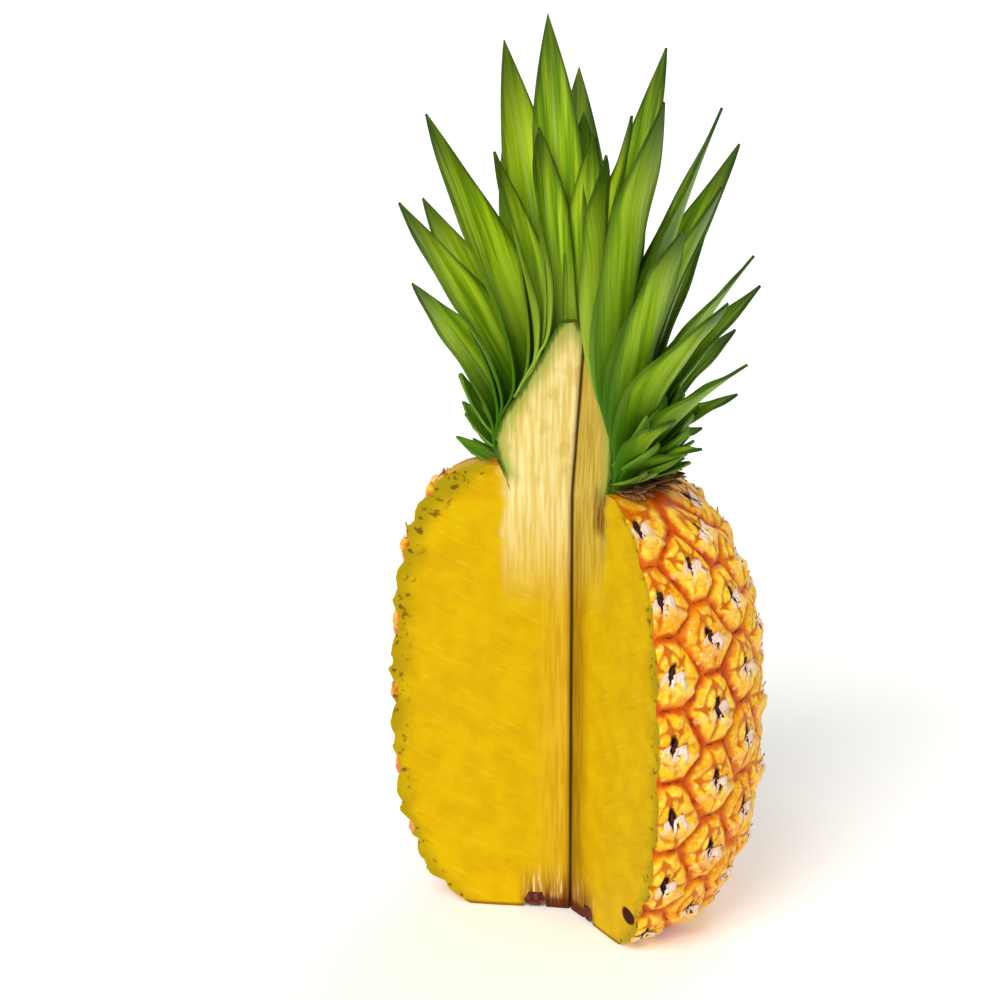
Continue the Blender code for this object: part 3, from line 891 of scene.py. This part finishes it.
bpy.data.objects.remove(crown_cut)
points = read_points(heart.data)
upright = np.array(CROWN_PLACE.inverted())
crown_places = points @ upright[:3, :3].T + upright[:3, 3]
inside = heart_radius(crown_places[:, 2] + SEAT_HEIGHT) - level_reach(crown_places)
unleaned = points - np.array([0, 0, SEAT_HEIGHT])
unleaned[:, 0] -= math.tan(CUT_LEAN_IN_CROWN) * unleaned[:, 2]
write_values(heart.data, inside=inside, **cut_face_values(unleaned))
bpy.ops.object.shade_smooth_by_angle(angle=math.radians(45))
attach(heart, "root")
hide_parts("crown_heart")


# Leaves: stiff, pointed blades with a channel down the middle, grown in one spiral from short spreading ones
# at the foot of the crown to long upright ones at its top. The knife took those that stood in its way.
LEAF_COUNT = 63
LEAF_TURN = math.radians(-137.508)
FIRST_LEAF_ANGLE = math.radians(17.4)
LEAF_STRAY = math.radians(7)
LEAF_STRAY_BEAT = (3.418, -0.492)
LENGTH_STRAY = 0.08
LENGTH_STRAY_BEAT = (3.014, -0.839)
LEAF_THICKNESS = 0.0009
LEAF_CLEARANCE = 0.0010
LEAF_FOOT = 0.1482
LEAF_CLIMB = 0.0366
LEAF_CLIMB_POWER = 1.3
LEAF_CELLS_ACROSS = 14
LEAF_CELLS_ALONG = 44
SHORTEST_LEAF = 0.0192
LONGEST_LEAF = 0.0982
LONGEST_LEAF_RANK = 0.715
INNER_LEAF_LOSS = 0.026
INNER_LEAVES_FROM = 0.22
INNER_LEAVES_FADE = 0.4
TALLEST_LEAF_PLACE = 57
TALLEST_LEAF = 0.1055
NARROWEST_HALF_WIDTH = 0.0045
WIDEST_HALF_WIDTH = 0.0112
WIDEST_LEAF_RANK = 0.6
LARGEST_WRAP = math.radians(68)
BLADE_BREADTH = 2.15
BREADTH_LOSS = 0.40
BLADE_TAPER = 1.18
FOOT_BREADTH = 0.92
BLADE_SWELL = 0.30
KEEPING_PLACE = 0.3
KEEPING_BREADTH = 0.96229
KEEPING_WRAP = math.radians(43)
SPREAD_AT_FOOT = math.radians(58.5)
SPREAD_POWER = 1.33
BEND_AT_FOOT = math.radians(16)
BEND_AT_TOP = math.radians(3)
CHANNEL_SHARE = 0.32
SMALLEST_KEPT_SHARE = 0.28
SHEATH = 0.009


def stray(place, beat):
    """A small irregular difference between leaves, from -1 to 1."""
    return math.sin(beat[0] * place + beat[1])


def leaf_length(rank):
    """Length of a leaf by its rank, 0 at the crown's foot and 1 at its top. Most inner ones are shorter."""
    place = rank * (LEAF_COUNT - 1)
    if round(place) == TALLEST_LEAF_PLACE:
        return TALLEST_LEAF
    rise = min(rank / LONGEST_LEAF_RANK, 1)
    past = max(rank - LONGEST_LEAF_RANK, 0) / (1 - LONGEST_LEAF_RANK)
    inner = float(smooth_rise((past - INNER_LEAVES_FROM) / INNER_LEAVES_FADE))
    length = SHORTEST_LEAF + (LONGEST_LEAF - SHORTEST_LEAF) * rise - INNER_LEAF_LOSS * inner
    return length * (1 + LENGTH_STRAY * stray(place, LENGTH_STRAY_BEAT))


def widest_half_width(rank):
    share = min(rank / WIDEST_LEAF_RANK, 1)
    return NARROWEST_HALF_WIDTH + (WIDEST_HALF_WIDTH - NARROWEST_HALF_WIDTH) * share


def leaf_half_width(rank, along):
    along = np.maximum(along, 0)
    breadth = widest_half_width(rank) * (BLADE_BREADTH - BREADTH_LOSS * rank)
    return breadth * (1 - along**BLADE_TAPER) * (FOOT_BREADTH + BLADE_SWELL * along)


def leaf_spine(rank, along):
    """The leaf's middle line as radius, height and lean. Below its foot the sheath hugs the heart."""
    foot_height = LEAF_FOOT + LEAF_CLIMB * rank**LEAF_CLIMB_POWER
    lean = SPREAD_AT_FOOT * (1 - rank) ** SPREAD_POWER
    bend = BEND_AT_TOP + BEND_AT_FOOT * (1 - rank) ** 0.6
    reach = leaf_length(rank) / bend
    blade = np.maximum(along, 0)
    here = lean + bend * blade
    down = np.maximum(-along, 0) * leaf_length(rank)
    stem_radius = heart_radius(foot_height - down) + LEAF_CLEARANCE * (1 - 0.9 * down / SHEATH)
    radius = stem_radius + reach * (math.cos(lean) - np.cos(here))
    return radius, foot_height - down + reach * (np.sin(here) - math.sin(lean)), here


def leaf_points(rank, across, along, limits):
    """Points of a leaf, which wraps round the crown's axis with its margins raised into a channel."""
    radius, height, lean = leaf_spine(rank, along)
    half_width = leaf_half_width(rank, along)
    wrap = LARGEST_WRAP * np.tanh(half_width / (radius * LARGEST_WRAP))
    low, high = -np.minimum(wrap, limits[0]), np.minimum(wrap, limits[1])
    angle = low + (high - low) * (across + 1) / 2
    blade = np.maximum(along, 0)
    channel = CHANNEL_SHARE * half_width * np.sin(math.pi * blade**0.7) * np.abs(across) ** 1.1
    ripple = 0.0003 * np.sin(blade * 17 + rank * 40) * across * np.sin(math.pi * blade)
    raised = channel + ripple
    radius, height = radius - raised * np.cos(lean), height + raised * np.sin(lean)
    return np.stack([radius * np.cos(angle), radius * np.sin(angle), height - SEAT_HEIGHT], axis=1)


# Leaf skin: thick, smooth, waxy blade, satin. It is yellow-green with fine parallel veins, paler down the
# middle, partly its own colour and partly painted highlight, deeper outside, and dark towards the margins and
# the dry tip. The foot is painted dark as shade deep in the crown, and is pale on top leaves.
leaf_skin, tree = make_material(
    "waxy_crown_leaf",
    {"Roughness": 0.45, "Specular IOR Level": 0.1, "Coat Weight": 0.02, "Coat Roughness": 0.3},
)
value = {
    name: add_node(tree, "Attribute", output="Fac", attribute_name=name)
    for name in ("across", "along", "across_metres", "along_metres", "outer", "luck", "rank")
}
# Veins are 0.5 mm apart and 33 mm long, and lighter and darker bands 2.6 mm apart. Each leaf has its own.
offset = add_node(tree, "Math", {0: value["luck"], 1: 9.0}, operation="MULTIPLY")
on_blade = add_node(tree, "CombineXYZ", {0: value["across_metres"], 1: value["along_metres"], 2: offset})
patterns = []
for spacing in ((1900.0, 30.0, 1.0), (380.0, 22.0, 1.0)):
    stretched = add_node(tree, "VectorMath", {0: on_blade, 1: spacing}, operation="MULTIPLY")
    patterns.append(add_node(tree, "TexNoise", {"Vector": stretched, "Scale": 1.0, "Detail": 3.0}))
vein, band = patterns
from_middle = add_node(tree, "Math", {0: value["across"]}, operation="ABSOLUTE")
# The foot's dark green is painted shade deep in the crown; the pale one on top leaves is their own colour.
foot = lay_colours(tree, "#3A6C06", (value["rank"], 0.74, 0.90, 1.0, "#9CB838"))
green = lay_colours(
    tree,
    "#80A60C",
    (value["luck"], 0.0, 1.0, 1.0, "#B2D018"),
    (band, 0.44, 0.66, 0.8, "#CCE838"),
    (band, 0.50, 0.32, 0.7, "#56820C"),
    (vein, 0.50, 0.70, 0.35, "#B2D03C"),
    (vein, 0.48, 0.32, 0.35, "#305A06"),
)
outside = lay_colours(tree, green, (band, 0.30, 0.60, 0.35, "#7E9C28"), (1.0, 0.0, 1.0, 0.2, "#467C0A"))
green = lay_colours(
    tree,
    green,
    (value["outer"], 0.0, 1.0, 1.0, outside),
    # Paler down the middle: partly the blade's own colour and partly a painted highlight.
    (from_middle, 0.10, 0.0, 0.45, "#C4DC78"),
    (from_middle, 0.72, 1.0, 0.75, "#204806"),
    (value["rank"], 0.42, 0.10, 0.2, "#3A6E0C"),
    (value["along"], 0.62, 0.98, 0.85, "#1E3E08"),
    # Towards its foot the blade takes the foot colour: painted shade on lower leaves, pale on top leaves.
    (value["along"], 0.55, 0.12, 0.6, foot),
    (value["along_metres"], 0.022, 0.002, 0.75, foot),
    (value["along"], 0.975, 1.0, 0.8, "#4A3A14"),
)
finish_surface(tree, green, vein, 0.3, 0.0004)


def make_blade(name, rank, azimuth, limits, luck):
    """One leaf, from a grid that is laid along its middle line and given its thickness."""
    bpy.ops.object.select_all(action="DESELECT")
    bpy.ops.mesh.primitive_grid_add(x_subdivisions=LEAF_CELLS_ACROSS, y_subdivisions=LEAF_CELLS_ALONG, size=2)
    leaf = bpy.context.object
    leaf.name = name
    grid = read_points(leaf.data)
    sheath = SHEATH / leaf_length(rank)
    across, along = grid[:, 0], ((grid[:, 1] + 1) / 2) ** 0.9 * (1 + sheath) - sheath
    write_points(leaf.data, leaf_points(rank, across, along, limits))
    write_values(
        leaf.data,
        across=across,
        along=along,
        across_metres=across * leaf_half_width(rank, along),
        along_metres=along * leaf_length(rank),
        luck=luck,
        rank=rank,
    )
    count = give_thickness(leaf, LEAF_THICKNESS, 0.0)
    radii = level_reach(read_points(leaf.data))
    first_is_outer = radii[:count].mean() > radii[count:].mean()
    write_values(leaf.data, outer=(np.arange(len(radii)) < count) == first_is_outer)
    leaf.data.transform(CROWN_PLACE @ Matrix.Rotation(azimuth, 4, "Z"))
    leaf.data.materials.append(leaf_skin)
    leaf.data.shade_smooth()
    return leaf


leaf_luck = np.random.default_rng(5).random(LEAF_COUNT)
leaf_number = 0
for turn in range(LEAF_COUNT):
    rank = turn / (LEAF_COUNT - 1)
    azimuth = FIRST_LEAF_ANGLE + turn * LEAF_TURN + LEAF_STRAY * stray(turn, LEAF_STRAY_BEAT)
    past_right_face = (azimuth - RIGHT_FACE_ANGLE) % math.tau
    limits = (past_right_face, math.tau - CUT_OPENING - past_right_face)
    wrap = widest_half_width(rank) * KEEPING_BREADTH / float(leaf_spine(rank, KEEPING_PLACE)[0])
    if limits[1] < 0 or min(limits) < SMALLEST_KEPT_SHARE * min(wrap, KEEPING_WRAP):
        continue
    leaf_number += 1
    leaf = make_blade(f"crown_leaf_{leaf_number:02d}", rank, azimuth, limits, leaf_luck[turn])
    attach(leaf, "root")
    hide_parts(f"leaf_{leaf_number:02d}")


# Foot scales: small bracts in six rings where the crown grows out of the fruit. The lower ones are dry and
# brown and lie on its shoulder, and the upper ones stand up green. One is shaped, and copied round.
SCALE_LENGTH = 0.0150
SCALE_HALF_WIDTH = 0.0046
SCALE_THICKNESS = 0.0005
SCALE_CUP = 0.0012
SCALE_CURL = 0.0022
# For each ring: how many, the foot's height and radius, the pitch in degrees, the size and the freshness.
SCALE_RINGS = (
    (33, 0.1452, 0.0276, -22.0, 0.42, 0.0),
    (31, 0.1450, 0.0240, -9.0, 0.58, 0.05),
    (25, 0.1452, 0.0226, 1.0, 0.70, 0.25),
    (25, 0.1470, 0.0230, 15.0, 1.0, 0.8),
    (21, 0.1500, 0.0234, 34.0, 1.25, 1.3),
    (19, 0.1530, 0.0236, 50.0, 1.5, 1.5),
)
CUT_MARGIN = math.radians(6)

bpy.ops.object.select_all(action="DESELECT")
bpy.ops.mesh.primitive_grid_add(x_subdivisions=10, y_subdivisions=6, size=2)
scale_pattern = bpy.context.object
grid = read_points(scale_pattern.data)
along, across = (grid[:, 0] + 1) / 2, grid[:, 1]
breadth = SCALE_HALF_WIDTH * (1 - along**1.8) * (0.85 + 0.4 * along)
raised = SCALE_CUP * across**2 * (1 - 0.5 * along) + SCALE_CURL * along**2.5
ragged = 1 + 0.06 * np.sin(along * 23) * np.abs(across)
grid = np.column_stack([along * SCALE_LENGTH, across * breadth * ragged, raised])
write_points(scale_pattern.data, grid)
write_values(scale_pattern.data, along=along, across=across)
give_thickness(scale_pattern, SCALE_THICKNESS, -1)

# Scale: half-dried leaf tissue, matt, brown and tan with brown margins and a dark tip, or green where fresh.
dry_scale, tree = make_material("half_dried_scale", {"Roughness": 0.55, "Specular IOR Level": 0.3})
value = {
    name: add_node(tree, "Attribute", output="Fac", attribute_name=name)
    for name in ("along", "across", "luck", "fresh")
}
# Fibres 0.4 mm apart run along a scale, 22 side by side.
side_by_side = add_node(tree, "Math", {0: value["across"], 1: 6.0}, operation="MULTIPLY")
offset = add_node(tree, "Math", {0: value["luck"], 1: 9.0}, operation="MULTIPLY")
lengthwise = add_node(tree, "CombineXYZ", {0: side_by_side, 1: value["along"], 2: offset})
strand = add_node(tree, "TexNoise", {"Vector": lengthwise, "Scale": 1.8, "Detail": 3.0})
from_middle = add_node(tree, "Math", {0: value["across"]}, operation="ABSOLUTE")
freshness = add_node(tree, "Math", {0: strand, 1: 0.5, 2: value["fresh"]}, operation="MULTIPLY_ADD")
olive = lay_colours(tree, "#4C7A0C", (strand, 0.38, 0.64, 1.0, "#76A020"))
drying = lay_colours(
    tree,
    "#64300E",
    (strand, 0.40, 0.62, 1.0, "#CC9058"),
    (value["luck"], 0.66, 0.74, 0.75, "#F0C4A0"),
    (value["luck"], 0.38, 0.28, 0.7, "#3A1006"),
    (from_middle, 0.75, 1.0, 0.5, "#5E4420"),
    (value["along"], 0.80, 0.98, 0.8, "#4A2E14"),
    (freshness, 0.45, 0.95, 1.0, olive),
)
finish_surface(tree, drying, strand, 0.4, 0.0005)
scale_pattern.data.materials.append(dry_scale)

luck = np.random.default_rng(23)
scales = []
for count, foot_height, foot_radius, pitch, size, fresh in SCALE_RINGS:
    margin = CUT_MARGIN * size
    kept_turn = math.tau - CUT_OPENING - 2 * margin
    for number in range(count):
        azimuth = RIGHT_FACE_ANGLE + margin + kept_turn * (number + 0.5 + luck.uniform(-0.25, 0.25)) / count
        scale = copy_piece(scale_pattern)
        lean = Matrix.Rotation(-math.radians(pitch + luck.uniform(-5, 7)), 4, "Y")
        lean @= Matrix.Rotation(luck.uniform(-0.3, 0.3), 4, "X")
        foot = Matrix.Translation((foot_radius, 0, foot_height - SEAT_HEIGHT))
        grown = Matrix.Scale(size * luck.uniform(0.8, 1.15), 4)
        scale.data.transform(CROWN_PLACE @ Matrix.Rotation(azimuth, 4, "Z") @ foot @ lean @ grown)
        write_values(scale.data, luck=luck.random(), fresh=fresh * luck.uniform(0.6, 1.1))
        scales.append(scale)
bpy.data.objects.remove(scale_pattern)
foot_scales = join_pieces(scales, "foot_scales")
foot_scales.data.shade_smooth()
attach(foot_scales, "root")


# Stalk remains: a ring of dried, torn tissue in the groove round the stub, crumpled and a little flattened.
# The knife cut it through with the rest.
REMAINS_RADIUS = 0.01285
REMAINS_THICKNESS = 0.0033
REMAINS_HEIGHT = 0.0026
REMAINS_CLEARANCE = 0.0004

bpy.ops.object.select_all(action="DESELECT")
bpy.ops.mesh.primitive_torus_add(
    major_radius=REMAINS_RADIUS, minor_radius=REMAINS_THICKNESS, major_segments=96, minor_segments=16
)
remains = bpy.context.object
remains.name = "stalk_remains"
points = read_points(remains.data)
points[:, :2] *= (1 + 0.0004 * roughness_at(points, 0.002) / REMAINS_RADIUS)[:, None]
points[:, 2] = points[:, 2] * 0.75 + REMAINS_HEIGHT + 0.0006 * roughness_at(points, 0.0025)
points[:, 2] = np.maximum(points[:, 2], REMAINS_CLEARANCE)
write_points(remains.data, points)
remains.data.materials.append(scar)
take_out(remains, knife_cut)
remains.data.polygons.foreach_set("material_index", [0] * len(remains.data.polygons))
bpy.ops.object.shade_smooth_by_angle(angle=math.radians(50))
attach(remains, "root")

bpy.data.objects.remove(knife_cut)
bpy.context.view_layer.update()
